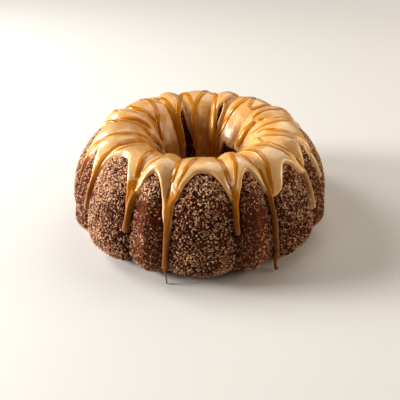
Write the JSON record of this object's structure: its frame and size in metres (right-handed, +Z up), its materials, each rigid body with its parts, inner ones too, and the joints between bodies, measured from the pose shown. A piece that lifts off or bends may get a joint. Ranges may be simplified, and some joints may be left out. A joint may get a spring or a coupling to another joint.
{
  "type": "bundt cake",
  "caption": "Fluted ring cake with a sugared dark crust, pale caramel icing poured over the crown and tongues of it in the grooves, with a darker drizzle over it.",
  "frame": {"origin": "on the ring's axis, at the level of the surface that it rests on", "axes": "+Z up along the ring's axis; the side that faces the picture's camera is towards -Y"},
  "size_m": [0.2504, 0.2504, 0.0981],
  "materials": {
    "crust": "rough sugared crust",
    "icing": "glossy"
  },
  "bodies": {
    "root": {"cake": "crust", "icing": "icing"}
  },
  "joints": []
}
